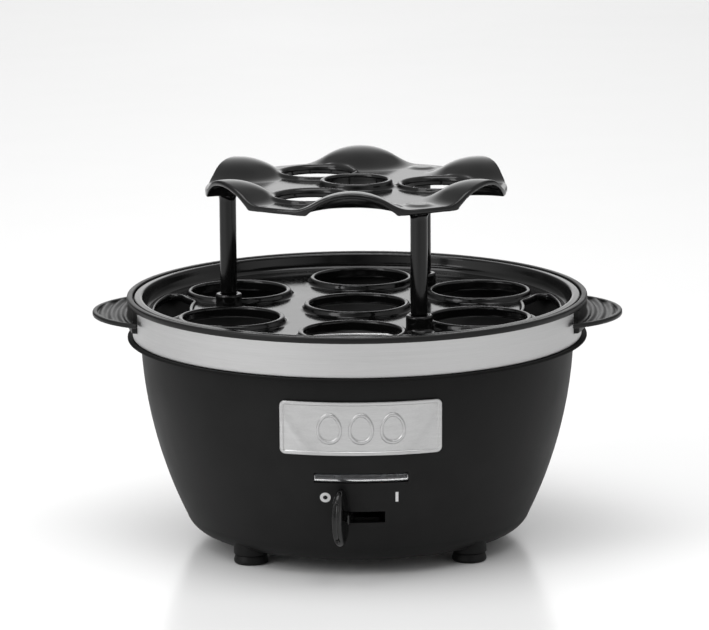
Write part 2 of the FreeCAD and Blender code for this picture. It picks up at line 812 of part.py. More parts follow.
def make_gland():
    """Bushing at the back that the mains cord would come through."""
    face = d.gland_face
    middle = d.gland_height
    sleeve = rod_along_y("gland_sleeve", d.gland_radius - d.fit_gap, 0, middle, face, 57)
    flange = rod_along_y("gland_flange", d.gland_radius + 2, 0, middle, face + 2, face)
    nose = rod_along_y("gland_nose", d.gland_radius - 1.6, 0, middle, face + 4.8, face + 2)
    bore = rod_along_y("gland_bore", d.gland_bore, 0, d.gland_height, 80, 50)
    joined = fuse("gland_joined", sleeve, flange, nose)
    node("cord_gland", cut("gland_cut", joined, bore))


# Front ----------------------------------------------------------------------------------


def egg_corners(x, z, half_width):
    """Egg outline: a round bottom, and a taller top of two long arcs."""
    tall = half_width * 1.55
    return [
        Corner(x - half_width, z, 0, half_width * 1.001),
        Corner(x + half_width, z, 0, half_width * 2.1),
        Corner(x + half_width * 0.34, z + tall * 0.92, 0, half_width * 0.42),
        Corner(x - half_width * 0.34, z + tall * 0.92, 0, half_width * 2.1),
    ]


def front_plate(name, corners):
    """Upright slab through the front of the housing, in the shape of an outline."""
    return plate(name, corners, "XZ_Plane", 60, 30)


def make_badge():
    """Curved steel badge with a raised border and three plain egg outlines."""
    middle = d.badge_low + d.badge_tall / 2
    width = d.badge_width
    skin = side_skin(
        "badge_skin", d.badge_low - 1, d.badge_low + d.badge_tall + 1,
        d.fit_gap.number, d.fit_gap.number + d.badge_skin.number,
    )
    outer = front_plate("badge_outline", rectangle(0, middle, width, d.badge_tall, 2.0))
    sheet_metal = common("badge_sheet", skin, outer)
    field_skin = side_skin("badge_field", d.badge_low, d.badge_low + d.badge_tall, 0.65, 3)
    field = rectangle(0, middle, width - 2.6, d.badge_tall - 2.6, 1.2)
    inside = front_plate("badge_inside", field)
    eggs = []
    for index in (-1, 0, 1):
        x = index * 11
        outer_egg = front_plate(f"egg_outer_{index + 1}", egg_corners(x, middle - 1.4, 4.2))
        inner_egg = front_plate(f"egg_inner_{index + 1}", egg_corners(x, middle - 1.4, 3.5))
        eggs.append(cut(f"egg_ring_{index + 1}", outer_egg, inner_egg))
    window = cut("badge_window", inside, *eggs)
    node("badge_plate", cut("badge_cut", sheet_metal, common("badge_relief", field_skin, window)))


def make_indicator():
    """Long clear lens in its slot, with the lamp and holder behind it."""
    low = d.lens_middle - d.lens_tall / 2
    skin = side_skin("lens_skin", low, low + d.lens_tall, -3.4, 0.45)
    window = block("lens_window", (0, -72, d.lens_middle), (d.lens_width, 30, 10))
    node("indicator_lens", common("lens_cut", skin, window))
    lamp = rod_along_x("lamp_bulb", 2.4, -61, d.lens_middle, -7, 7)
    pins = rod_along_x("lamp_pins", 0.5, -61, d.lens_middle, -12, 12)
    node("indicator_lamp", fuse("lamp_joined", lamp, pins))
    tray = block("holder_tray", (0, -61, d.lens_middle), (18, 9, 8.4))
    room = block("holder_room", (0, -62.5, d.lens_middle), (15, 8, 5.6))
    slot = rod_along_x("holder_slot", 0.6, -61, d.lens_middle, -12, 12)
    node("lamp_holder", cut("holder_cut", tray, room, slot))


def make_marks():
    """Off ring and on bar, thin inlays on the housing under the indicator."""
    low = d.mark_height - 3
    skin = side_skin("mark_skin", low, d.mark_height + 3, 0.02, 0.17)
    ring = cut(
        "mark_ring",
        rod_along_y("mark_ring_outer", 1.85, -d.mark_place, d.mark_height, -60, -90),
        rod_along_y("mark_ring_inner", 0.8, -d.mark_place, d.mark_height, -60, -90),
    )
    bar = block("mark_bar", (d.mark_place, -75, d.mark_height), (1.0, 30, 3.7))
    node("off_mark", common("off_mark_cut", skin, ring))
    node("on_mark", common("on_mark_cut", skin, bar))


# Lever and switch -----------------------------------------------------------------------


def make_lever():
    """Paddle with a bowed front on a stem that turns about an upright pin and throws the switch slider."""
    hub = rod("lever_hub", 4.6, d.lever_height - 3, d.lever_height + 3)
    stem = block("lever_stem", (0, -12.5, d.lever_height), (4.4, 19, 2.9))
    middle = d.lever_height + 1.2
    front = d.paddle_depth - d.lever_reach
    paddle = plate(
        "lever_paddle",
        [
            Corner(-d.paddle_back + 2.3, middle - d.paddle_half, 3.5),
            Corner(-d.paddle_back - 2.5, middle + d.paddle_half, 1.3),
            Corner(front, middle + d.paddle_half, 0, d.paddle_curve),
            Corner(front, middle - d.paddle_half),
        ],
        "YZ_Plane", -d.paddle_thick / 2, d.paddle_thick,
    )
    prongs = [
        block(f"lever_prong_{side + 1}", (side * 2.9, 8.4, d.lever_height), (2, 9.5, 2.9))
        for side in (-1, 1)
    ]
    bore = rod("lever_bore", d.pin_radius + d.fit_gap, 10, 40)
    joined = fuse("lever_joined", hub, stem, paddle, *prongs)
    lever = cut("lever_cut", joined, bore)
    place(lever, (0, -d.lever_pivot, 0), d.lever_rest)
    node("power_lever", lever)


def make_lever_bracket():
    """Plate on the housing's posts with two ears for the pivot pin, and the pin."""
    low = size(10.4)
    plate_top = low + 1.8
    y = -d.lever_pivot
    ear_low = d.lever_height - 3 - d.gap
    ear_high = d.lever_height + 3 + d.gap
    base = block("bracket_base", (0, -42.6, low + 0.9), (39, 20.8, 1.8))
    stand_tall = ear_low - 2 - plate_top
    stand = block("bracket_stand", (0, y, plate_top + stand_tall / 2), (11, 5.6, stand_tall))
    lower_ear = block("bracket_lower", (0, y, ear_low - 1), (13, 9.6, 2))
    upper_ear = block("bracket_upper", (0, y, ear_high + 1), (25, 9.6, 2))
    leg_tall = ear_high + 1 - low
    legs = [
        block(f"bracket_leg_{side + 1}", (side * 11.5, y, low + leg_tall / 2), (2, 5.6, leg_tall))
        for side in (-1, 1)
    ]
    holes = [rod("bracket_bore", d.pin_radius, ear_low - 3, ear_high + 3, (0, y))]
    screws = []
    for index, at in enumerate(BRACKET_POSTS):
        holes.append(rod(f"bracket_fix_hole_{index}", d.screw_radius + 0.1, 9, 14, at))
        shank = rod(f"bracket_fix_shank_{index}", d.screw_radius, 7.2, plate_top, at)
        head = rod(f"bracket_fix_head_{index}", d.screw_head, plate_top, plate_top + 1.6, at)
        screws.append(fuse(f"bracket_fix_{index}", shank, head))
    frame = fuse("bracket_joined", base, stand, lower_ear, upper_ear, *legs)
    node("lever_bracket", cut("bracket_holes", frame, *holes))
    group("lever_bracket_screws", screws)
    shaft = rod("pivot_shaft", d.pin_radius, ear_low - 2, ear_high + 2, (0, y))
    cap = rod("pivot_cap", 3.2, ear_high + 2, ear_high + 3, (0, y))
    node("lever_pivot_pin", fuse("pivot_joined", shaft, cap))


def make_switch():
    """Slide switch on the bracket plate: body, slider with its post, and terminals."""
    post_y = d.slider_arm - d.lever_pivot
    top = d.lever_height - 3.9
    middle = post_y + 1
    case = block("switch_case", (0, middle, top - 3.5), (24, 11, 7))
    guides = [
        block(f"switch_guide_{index}", (0, middle + y, top + 0.7), (24, 1.4, 1.4))
        for index, y in enumerate((-4.8, 4.8))
    ]
    node("switch_body", fuse("switch_joined", case, *guides))
    sled = block("slider_sled", (d.slider_start, middle, top + 0.8), (10, 7.2, 1.0))
    at = (d.slider_start, post_y)
    post = rod("slider_post", 1.5, top + 0.8, d.lever_height + 2.4, at)
    node("switch_slider", fuse("slider_joined", sled, post))
    tabs = [
        block(f"switch_tab_{index}", (x, middle + 8.3, top - 3.5), (4.8, 5.6, 0.8))
        for index, x in enumerate((-7, 0, 7))
    ]
    group("switch_terminals", tabs)


def make_wiring():
    """Terminal block behind the middle, earth tag, buzzer and the lead from gland to block."""
    block_middle = (0, 28, 13.2)
    case = block("terminal_case", block_middle, (30, 12, 9))
    wells = []
    screws = []
    for index, x in enumerate((-9, 0, 9)):
        wells.append(rod(f"terminal_well_{index}", 2.3, 12, 20, (x, 28)))
        wells.append(rod_along_y(f"terminal_way_{index}", 1.7, x, 11.0, 40, 16))
        screws.append(rod(f"terminal_screw_{index}", 2.1, 13, 16.4, (x, 28)))
    node("terminal_block", cut("terminal_cut", case, *wells))
    group("terminal_screws", screws)
    base = block("earth_base", (22, 30, 9.0), (10, 8, 0.8))
    blade = block("earth_blade", (22, 34.0, 12.4), (6.3, 0.8, 7.4))
    hole = rod("earth_hole", 1.6, 5, 12, (22, 28.5))
    node("earth_tag", cut("earth_cut", fuse("earth_joined", base, blade), hole))
    can = rod("buzzer_can", 11, 9.0, 18.0, (-27, -12))
    port = rod("buzzer_port", 1.4, 15, 20, (-27, -12))
    node("buzzer", cut("buzzer_cut", can, port))


# Trays ----------------------------------------------------------------------------------


def make_lower_tray():
    """Dished tray with seven cups, two finger openings and three leg sockets."""
    top = d.tray_lift + d.tray_skin
    rim = d.tray_rim_radius
    dish = revolved(
        "lower_dish",
        [
            Corner(0, d.tray_lift),
            Corner(rim - 2.7, d.tray_lift, 1.5),
            Corner(rim - 1.8, d.tray_rim_top - 1.6),
            Corner(rim, d.tray_rim_top - 0.5),
            Corner(rim, d.tray_rim_top, 0.2),
            Corner(rim - 1.2, d.tray_rim_top, 0.2),
            Corner(rim - 2.9, d.tray_rim_top - 1.3),
            Corner(rim - 3.7, top, 1.5),
            Corner(0, top),
        ],
    )
    added = []
    removed = []
    cups = [(0, 0)] + [polar(d.cup_circle, angle) for angle in CUP_ANGLES]
    for index, at in enumerate(cups):
        lip = cup_lip(f"lower_lip_{index}", d.cup_radius, 2.0, d.tray_lift, top + 2.2)
        place(lip, (*at, 0))
        added.append(lip)
        removed.append(rod(f"lower_hole_{index}", d.cup_radius, 75, 95, at))
    for index, angle in enumerate(GRIP_ANGLES):
        added.append(finger_shape(f"finger_lip_{index}", angle, 1.6, top - 0.5, top + 0.9))
        removed.append(finger_shape(f"finger_hole_{index}", angle, 0, 75, 95))
    for index, angle in enumerate(LEG_ANGLES):
        at = polar(d.leg_circle, angle)
        added.append(rod(f"socket_{index}", d.leg_radius + 1.8, top - 0.5, d.socket_top, at))
        removed.append(rod(f"socket_hole_{index}", d.leg_radius + 0.05, 75, 95, at))
    joined = fuse("lower_joined", dish, *added)
    tray = cut("lower_cut", joined, *removed)
    place(tray, (0, 0, 0), d.tray_turn)
    node("lower_tray", tray)


def cup_lip(name, radius, width, low, high):
    """Rounded ring round a cup hole, about its own axis."""
    low = size(low)
    return revolved(
        name,
        [
            Corner(radius - 0.5, low + 0.3),
            Corner(radius + width, low + 0.3),
            Corner(radius + width, high - 0.9, 0.4),
            Corner(radius + width * 0.5, high, 0.4),
            Corner(radius - 0.5, high),
        ],
    )


def finger_shape(name, angle, margin, low, high):
    """Curved three-sided opening between two cups and the rim of the lower tray."""
    wedge = sector(name + "_wedge", d.tray_rim_radius - 7.6 + margin, low, high, angle, 18.5)
    keep_out = [rod(name + "_core", 60.5 - margin, low - 1, high + 1)]
    for side in (-30, 30):
        at = polar(d.cup_circle, angle + side)
        keep_out.append(
            rod(f"{name}_cup_{side + 30}", d.cup_radius + 4.4 - margin, low - 1, high + 1, at)
        )
    return cut(name, wedge, *keep_out)


def make_upper_tray():
    """Tray on three legs: six arches over the lower eggs, three cups and a middle hole."""
    top = d.upper_floor + d.upper_skin
    shell = []
    hollow = []
    for index, angle in enumerate(CUP_ANGLES):
        at = (*polar(d.cup_circle, angle), d.arch_centre)
        shell.append(ball(f"arch_{index}", d.arch_radius, at))
        hollow.append(ball(f"arch_room_{index}", d.arch_radius - d.arch_skin, at))
    disc = rod("upper_disc", d.upper_radius, d.upper_floor, top)
    above = rod("arch_limit", d.upper_radius, d.upper_floor, 140)
    domes = common("arch_domes", fuse("arch_sum", *shell), above)
    middle = cup_lip("middle_lip", size(11.0), 1.8, d.upper_floor, top + 2.6)
    added = [disc, domes, middle]
    removed = list(hollow)
    removed.append(rod("middle_hole", 11, 110, 140))
    for index, angle in enumerate(NEST_ANGLES):
        at = polar(d.nest_circle, angle)
        lip = cup_lip(f"nest_lip_{index}", d.nest_radius, 2.2, d.upper_floor, top + 1.7)
        place(lip, (*at, 0))
        added.append(lip)
        removed.append(rod(f"nest_hole_{index}", d.nest_radius, 120, 128, at))
        removed.append(ball(f"nest_room_{index}", d.egg_radius, (*at, 124.9 + d.egg_radius)))
    legs = []
    for index, angle in enumerate(LEG_ANGLES):
        at = polar(d.leg_circle, angle)
        legs.append(rod(f"leg_{index}", d.leg_radius + 0.1, d.socket_top + 0.3, top - 0.5, at))
        legs.append(rod(f"leg_pin_{index}", d.leg_radius - 0.35, 82.4, d.socket_top + 1, at))
        legs.append(
            primitive(
                "Cone", f"leg_flare_{index}", (*at, d.upper_floor - 4),
                Radius1=d.leg_radius, Radius2=d.leg_radius + 1.6, Height=4.5,
            )
        )
    tray = cut("upper_cut", fuse("upper_joined", *added), *removed)
    whole = fuse("upper_whole", tray, *legs)
    place(whole, (0, 0, 0), d.tray_turn)
    node("upper_tray", whole)


# Build, test and write ------------------------------------------------------------------


def group(name, items):
    """Several like pieces as one named node of separate solids."""
    bundle = doc.addObject("Part::Compound", name + "_group")
    bundle.Links = items
    return node(name, bundle)


def check_document():
    """Stop if any object failed or any piece has no sound solid."""
    for item in doc.Objects:
        if "Invalid" in item.State or "Error" in item.State:
            raise RuntimeError(f"{item.Name} failed: {item.State}")
    for item in NODES:
        shape = item.Shape
        if shape.isNull() or not shape.isValid() or not shape.Solids:
            raise RuntimeError(f"{item.Label} has no valid solid")


def write_parts():
    os.makedirs("parts", exist_ok=True)
    for item in NODES:
        item.Shape.exportStep(f"parts/{item.Label}.step")
        print(f"{item.Label}: {len(item.Shape.Solids)} solid(s), {item.Shape.Volume:.0f} mm3")


make_housing()
make_band()
make_collar()
make_chamber()
make_heater()
make_base()
make_gland()
make_badge()
make_indicator()
make_marks()
make_lever()
make_lever_bracket()
make_switch()
make_wiring()
make_lower_tray()
make_upper_tray()
doc.recompute()
check_document()
write_parts()
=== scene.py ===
import math

import bpy
import numpy as np
import openvdb
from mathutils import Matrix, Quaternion, Vector


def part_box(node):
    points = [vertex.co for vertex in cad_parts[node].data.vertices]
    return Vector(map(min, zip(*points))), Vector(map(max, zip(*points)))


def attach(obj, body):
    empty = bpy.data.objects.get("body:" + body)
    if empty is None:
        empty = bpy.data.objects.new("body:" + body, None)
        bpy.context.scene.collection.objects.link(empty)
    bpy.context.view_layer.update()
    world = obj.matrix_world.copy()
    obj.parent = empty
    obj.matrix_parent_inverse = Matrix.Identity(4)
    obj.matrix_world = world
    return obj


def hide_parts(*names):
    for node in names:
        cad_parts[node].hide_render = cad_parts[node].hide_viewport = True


# The egg cooker's looks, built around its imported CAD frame. Shapes are in mm, Blender is in metres.
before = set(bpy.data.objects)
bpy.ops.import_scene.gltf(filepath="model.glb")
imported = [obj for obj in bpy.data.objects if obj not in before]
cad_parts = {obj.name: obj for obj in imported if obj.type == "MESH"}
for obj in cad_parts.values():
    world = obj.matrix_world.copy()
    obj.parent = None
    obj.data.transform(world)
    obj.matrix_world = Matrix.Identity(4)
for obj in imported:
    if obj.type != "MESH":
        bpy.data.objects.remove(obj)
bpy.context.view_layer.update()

MM = 0.001

# The camera stands where the photograph was taken from.
IMAGE_WIDTH = 709
CAMERA_DISTANCE = 1.6
CAMERA_ELEVATION = 11.3
CAMERA_AZIMUTH = -0.8
CAMERA_ROLL = 0.4
CAMERA_LENS = 226.3
CAMERA_AIM = Vector((0, 0, 0.08))

# Sizes that the pieces share.
TRAY_TURN = math.radians(-2.6)
SIDE_LOW = (62.1, 10.4)
SIDE_TOP = (77.7, 73.85)
SIDE_CURVE = 159.0
LEVER_PIVOT = 50.0
LEVER_REST = math.radians(-17)
LEVER_LEVEL = 23.1
CUP_CIRCLE = 50.5
SEAT_CIRCLE = 29.4
LEG_CIRCLE = 46
RIM_TOP = 89.3


def corners(node):
    """Lowest and highest corner of a CAD node in mm."""
    low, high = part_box(node)
    return Vector(low) / MM, Vector(high) / MM


# Shader building ------------------------------------------------------------------------


def add(tree, kind, inputs=None, **settings):
    """One shader node; an input is a number, a colour or another node's output."""
    made = tree.nodes.new("ShaderNode" + kind)
    for name, value in settings.items():
        setattr(made, name, value)
    for name, value in (inputs or {}).items():
        if isinstance(value, bpy.types.NodeSocket):
            tree.links.new(value, made.inputs[name])
        else:
            made.inputs[name].default_value = value
    return made


def maths(tree, operation, first, second=0.0, third=0.0):
    inputs = {0: first, 1: second, 2: third}
    return add(tree, "Math", inputs, operation=operation).outputs[0]


def spread(tree, value, low, high, start=0.0, end=1.0):
    """Stretch a value from start..end to low..high."""
    inputs = {"Value": value, "From Min": start, "From Max": end, "To Min": low, "To Max": high}
    return add(tree, "MapRange", inputs).outputs[0]


def material(name, roughness, **sockets):
    """New material with a Principled shader and its fixed sockets; returns tree and shader."""
    made = bpy.data.materials.get(name) or bpy.data.materials.new(name)
    made.use_nodes = True
    tree = made.node_tree
    tree.nodes.clear()
    shader = add(tree, "BsdfPrincipled")
    shader.inputs["Roughness"].default_value = roughness
    for socket, value in sockets.items():
        shader.inputs[socket.replace("_", " ")].default_value = value
    output = add(tree, "OutputMaterial", {"Surface": shader.outputs[0]})
    output.is_active_output = True
    return tree, shader


def in_mm(tree, stretch=(1, 1, 1)):
    """The piece's own coordinates in mm, stretched along an axis."""
    place = add(tree, "TexCoord").outputs["Object"]
    scale = [factor / MM for factor in stretch]
    return add(tree, "VectorMath", {0: place, 1: scale}, operation="MULTIPLY").outputs[0]


def round_about(tree, along, across):
    """Coordinates that run round the Z axis, for brushing that follows a ring."""
    split = add(tree, "SeparateXYZ", {0: in_mm(tree)}).outputs
    angle = maths(tree, "ARCTAN2", split[1], split[0])
    square_x = maths(tree, "MULTIPLY", split[0], split[0])
    square_y = maths(tree, "MULTIPLY", split[1], split[1])
    radius = maths(tree, "SQRT", maths(tree, "ADD", square_x, square_y))
    turn = maths(tree, "MULTIPLY", angle, 80 * along)
    outward = maths(tree, "MULTIPLY", radius, across)
    upward = maths(tree, "MULTIPLY", split[2], across)
    return add(tree, "CombineXYZ", {0: turn, 1: outward, 2: upward}).outputs[0]


def noise(tree, place, size, detail=2.0, roughness=0.5):
    inputs = {"Vector": place, "Scale": 1 / size, "Detail": detail, "Roughness": roughness}
    return add(tree, "TexNoise", inputs).outputs["Fac"]


def tones(tree, factor, dark, light):
    """Colour that drifts between two tones."""
    ramp = add(tree, "ValToRGB", {"Fac": factor})
    ramp.color_ramp.elements[0].position = 0.3
    ramp.color_ramp.elements[0].color = (*dark, 1)
    ramp.color_ramp.elements[1].position = 0.7
    ramp.color_ramp.elements[1].color = (*light, 1)
    return ramp.outputs["Color"]


def relief(tree, shader, height, depth, strength=1.0):
    """Bump of a depth in mm."""
    inputs = {"Height": height, "Distance": depth * MM, "Strength": strength}
    bump = add(tree, "Bump", inputs)
    tree.links.new(bump.outputs["Normal"], shader.inputs["Normal"])
    return bump


def moulded(name, dark, light, rough, grain, depth, **sockets):
    """Plastic or rubber: a fine spark-eroded grain, soft tone drift and uneven gloss."""
    tree, shader = material(name, rough[0], **sockets)
    place = in_mm(tree)
    fine = noise(tree, place, grain, 3.0, 0.6)
    broad = noise(tree, place, 14.0, 2.0)
    tree.links.new(tones(tree, broad, dark, light), shader.inputs["Base Color"])
    mixed = maths(tree, "ADD", maths(tree, "MULTIPLY", fine, 0.4), maths(tree, "MULTIPLY", broad, 0.6))
    tree.links.new(spread(tree, mixed, rough[0], rough[1], 0.3, 0.7), shader.inputs["Roughness"])
    relief(tree, shader, fine, depth)
    return tree, shader


def brushed(name, dark, light, rough, place, depth, **sockets):
    """Steel with fine lines along one way; place gives coordinates stretched that way."""
    tree, shader = material(name, rough[0], Metallic=1.0, **sockets)
    coordinates = place(tree)
    lines = noise(tree, coordinates, 0.16, 4.0, 0.65)
    bands = noise(tree, coordinates, 1.3, 2.0)
    mixed = maths(tree, "ADD", maths(tree, "MULTIPLY", lines, 0.6), maths(tree, "MULTIPLY", bands, 0.4))
    tree.links.new(tones(tree, mixed, dark, light), shader.inputs["Base Color"])
    tree.links.new(spread(tree, mixed, rough[0], rough[1], 0.3, 0.7), shader.inputs["Roughness"])
    relief(tree, shader, lines, depth)
    tangent = add(tree, "Tangent", direction_type="RADIAL", axis="Z")
    tree.links.new(tangent.outputs[0], shader.inputs["Tangent"])
    return tree, shader


def plated(name, dark, light, rough):
    """Small zinc or nickel plated parts: blotchy tone, tiny dents."""
    tree, shader = material(name, rough[0], Metallic=1.0)
    place = in_mm(tree)
    blotches = noise(tree, place, 2.2, 4.0, 0.6)
    dents = noise(tree, place, 0.35, 2.0)
    tree.links.new(tones(tree, blotches, dark, light), shader.inputs["Base Color"])
    tree.links.new(spread(tree, blotches, rough[0], rough[1], 0.3, 0.7), shader.inputs["Roughness"])
    relief(tree, shader, dents, 0.01)
    return tree, shader


def grey(value, warm=0.0):
    return (value * (1 + warm), value, value * (1 - warm))


def sideways(tree):
    """Coordinates for brushing along X."""
    return in_mm(tree, (0.02, 1, 1))


def round_axis(tree):
    """Coordinates for brushing round the Z axis."""
    return round_about(tree, 0.02, 1.0)


def make_materials():
    """Every material slot of the record."""
    make_housing_black()
    moulded("collar_black", grey(0.005), grey(0.007), (0.3, 0.42), 0.3, 0.01, Specular_IOR_Level=0.25)
    moulded("liner_black", grey(0.012), grey(0.017), (0.4, 0.52), 0.3, 0.01)
    moulded("silicone_grey", grey(0.16), grey(0.2), (0.5, 0.62), 0.5, 0.01, Specular_IOR_Level=0.4)
    moulded("base_black", grey(0.014), grey(0.02), (0.45, 0.6), 0.35, 0.02)
    moulded("foot_rubber", grey(0.003), grey(0.005), (0.4, 0.55), 0.3, 0.02, Specular_IOR_Level=0.2)
    moulded("gland_black", grey(0.01), grey(0.015), (0.4, 0.52), 0.3, 0.014)
    moulded("inner_plastic", grey(0.5, 0.04), grey(0.6, 0.04), (0.4, 0.55), 0.4, 0.01)
    moulded("switch_grey", grey(0.05), grey(0.07), (0.4, 0.52), 0.4, 0.01)
    moulded("slider_white", grey(0.62, 0.02), grey(0.72, 0.02), (0.35, 0.45), 0.4, 0.008)
    moulded("buzzer_black", grey(0.012), grey(0.018), (0.35, 0.48), 0.3, 0.008)
    moulded("thermostat_white", grey(0.7, 0.03), grey(0.8, 0.03), (0.22, 0.36), 0.6, 0.01)
    moulded("mark_white", grey(0.62), grey(0.72), (0.4, 0.55), 0.18, 0.004)
    moulded("lever_black", grey(0.004), grey(0.006), (0.14, 0.22), 0.5, 0.002, Specular_IOR_Level=0.4)
    moulded("tray_gloss", grey(0.003), grey(0.0045), (0.08, 0.16), 1.6, 0.002, Specular_IOR_Level=0.35)
    brushed("brushed_band", grey(0.56), grey(0.66), (0.36, 0.44), round_axis, 0.004, Anisotropic=0.9)
    brushed("badge_steel", grey(0.44), grey(0.56), (0.3, 0.4), sideways, 0.006, Anisotropic=0.8)
    brushed("dish_steel", grey(0.52), grey(0.56), (0.26, 0.34), round_axis, 0.002)
    brushed("plain_steel", grey(0.16), grey(0.24), (0.32, 0.46), sideways, 0.006)
    brushed("element_steel", grey(0.26, 0.05), grey(0.36, 0.05), (0.34, 0.5), round_axis, 0.006)
    plated("cast_aluminium", grey(0.42), grey(0.56), (0.42, 0.58))
    plated("terminal_steel", grey(0.52, 0.06), grey(0.64, 0.06), (0.2, 0.34))
    plated("screw_steel", grey(0.5), grey(0.64), (0.22, 0.36))
    glass("lens_clear", (0.42, 0.43, 0.45), 0.05)
    glass("lamp_glass", (0.9, 0.5, 0.34), 0.05)


def make_housing_black():
    """Matt black with the thin lip under the band darker than the side."""
    tree, shader = moulded("housing_black", grey(0.009), grey(0.012), (0.42, 0.52), 0.22, 0.006)
    height = add(tree, "SeparateXYZ", {0: in_mm(tree)}).outputs[2]
    shine = spread(tree, height, 0.11, 0.02, 73.4, 73.8)
    tree.links.new(shine, shader.inputs["Specular IOR Level"])


def glass(name, colour, rough):
    """Clear plastic or glass with a slightly wavy, faintly cloudy surface."""
    tree, shader = material(name, rough, Transmission_Weight=0.9, IOR=1.45)
    place = in_mm(tree)
    waves = noise(tree, place, 2.5, 2.0)
    dark = [0.9 * part for part in colour]
    tree.links.new(tones(tree, waves, dark, colour), shader.inputs["Base Color"])
    tree.links.new(spread(tree, waves, rough, rough * 2.5, 0.3, 0.7), shader.inputs["Roughness"])
    relief(tree, shader, waves, 0.01)


# Shape building -------------------------------------------------------------------------


def join(a, b, blend):
    """Union of two distance fields with a fillet."""
    near = np.maximum(blend - np.abs(a - b), 0) / blend
    return np.minimum(a, b) - near * near * blend / 4


def meet(a, b, blend):
    """Intersection of two distance fields with a rounded edge."""
    return -join(-a, -b, blend)


def carve(a, b, blend):
    """First field with the second one removed."""
    return meet(a, -b, blend)


def ring_box(distance, z, inner, outer, low, high, rounding):
    """Field of a ring with a rounded rectangular section, from the distance to its axis."""
    across = np.abs(distance - (inner + outer) / 2) - (outer - inner) / 2 + rounding
    up = np.abs(z - (low + high) / 2) - (high - low) / 2 + rounding
    outside = np.hypot(np.maximum(across, 0), np.maximum(up, 0))
    return outside + np.minimum(np.maximum(across, up), 0) - rounding


def ball(x, y, z, at, radius):
    return np.sqrt((x - at[0]) ** 2 + (y - at[1]) ** 2 + (z - at[2]) ** 2) - radius


def folded(x, y, count, first):
    """Coordinates as seen from the nearest of several evenly spaced directions."""
    step = 2 * math.pi / count
    angle = np.arctan2(y, x) - math.radians(first)
    angle = (angle + step / 2) % step - step / 2
    radius = np.hypot(x, y)
    return radius * np.cos(angle), radius * np.sin(angle)


def sculpt(name, field, low, high, cell):
    """Mesh of a distance field's zero surface, with every corner pulled onto it."""
    axes = [np.arange(a - 2 * cell, b + 2 * cell, cell, dtype=np.float32) for a, b in zip(low, high)]
    shape = [len(axis) for axis in axes]
    values = np.empty(shape, np.float32)
    for start in range(0, shape[0], 64):
        part = np.meshgrid(axes[0][start:start + 64], axes[1], axes[2], indexing="ij")
        values[start:start + 64] = field(*part)
    grid = openvdb.FloatGrid(background=float(4 * cell))
    grid.copyFromArray(np.clip(values, -4 * cell, 4 * cell))
    points, quads = grid.convertToQuads()
    points = points.astype(np.float64) * cell + [axis[0] for axis in axes]
    step = 0.02
    for _ in range(3):
        here = field(*points.T)
        slope = np.stack([
            (field(*(points + step * way).T) - field(*(points - step * way).T)) / (2 * step)
            for way in np.eye(3)
        ], axis=1)
        steep = np.maximum((slope ** 2).sum(axis=1), 0.25)
        move = -(here / steep)[:, None] * slope
        reach = np.maximum(np.linalg.norm(move, axis=1) / (0.5 * cell), 1)
        points = points + move / reach[:, None]
    mesh = bpy.data.meshes.new(name)
    mesh.from_pydata((points * MM).tolist(), [], quads[:, ::-1].tolist())
    mesh.validate()
    mesh.shade_smooth()
    return piece(name, mesh)


def piece(name, mesh):
    made = bpy.data.objects.new(name, mesh)
    bpy.context.scene.collection.objects.link(made)
    return made


def finish_piece(made, body, slot, *nodes):
    """Material, body, slot and the CAD nodes that a new piece stands for."""
    made.data.materials.append(bpy.data.materials[slot])
    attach(made, body)
    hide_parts(*nodes)


# Trays ----------------------------------------------------------------------------------


def turned_back(x, y, angle):
    c = math.cos(angle)
    s = math.sin(angle)
    return x * c + y * s, y * c - x * s


def make_upper_tray():
    """Six arches on a round plate with three egg seats, a middle hole and three legs."""
    low, high = corners("upper_tray")
    floor = high.z - 8.4
    top = floor + 1.9
    radius = (high.x - low.x) / 2

    def field(x, y, z):
        x, y = turned_back(x, y, TRAY_TURN)
        r = np.hypot(x, y)
        plate = ring_box(r, z, -radius, radius, floor, top, 0.8)
        ax, ay = folded(x, y, 6, 30)
        arch = ball(ax, ay, z, (CUP_CIRCLE, 0, floor - 16), 24.4)
        arch = meet(arch, floor - z, 0.6)
        arch = meet(arch, r - radius, 0.9)
        shape = join(plate, arch, 3.0)
        nx, ny = folded(x, y, 3, 0)
        seat = np.hypot(nx - SEAT_CIRCLE, ny)
        shape = join(shape, ring_box(seat, z, 12.0, 14.6, floor, top + 1.7, 0.8), 1.4)
        shape = join(shape, ring_box(r, z, 10.4, 13.0, floor, top + 2.6, 0.8), 1.6)
        shape = carve(shape, ball(ax, ay, z, (CUP_CIRCLE, 0, floor - 16), 22.6), 0.8)
        shape = carve(shape, r - 11, 1.0)
        shape = carve(shape, seat - 12.5, 0.6)
        shape = carve(shape, ball(nx, ny, z, (SEAT_CIRCLE, 0, top + 19.8), 22.8), 0.9)
        shape = meet(meet(shape, floor - z, 0.3), r - radius, 0.3)
        lx, ly = folded(x, y, 3, 60)
        leg = ring_box(np.hypot(lx - LEG_CIRCLE, ly), z, -3.0, 3.0, RIM_TOP, top - 0.5, 0.5)
        shape = join(shape, leg, 3.2)
        pin = ring_box(np.hypot(lx - LEG_CIRCLE, ly), z, -2.55, 2.55, low.z, 91, 0.6)
        return join(shape, pin, 0.4)

    tray = sculpt("egg_tray_upper", field, low, high, 0.5)
    finish_piece(tray, "upper_tray", "tray_gloss", "upper_tray")


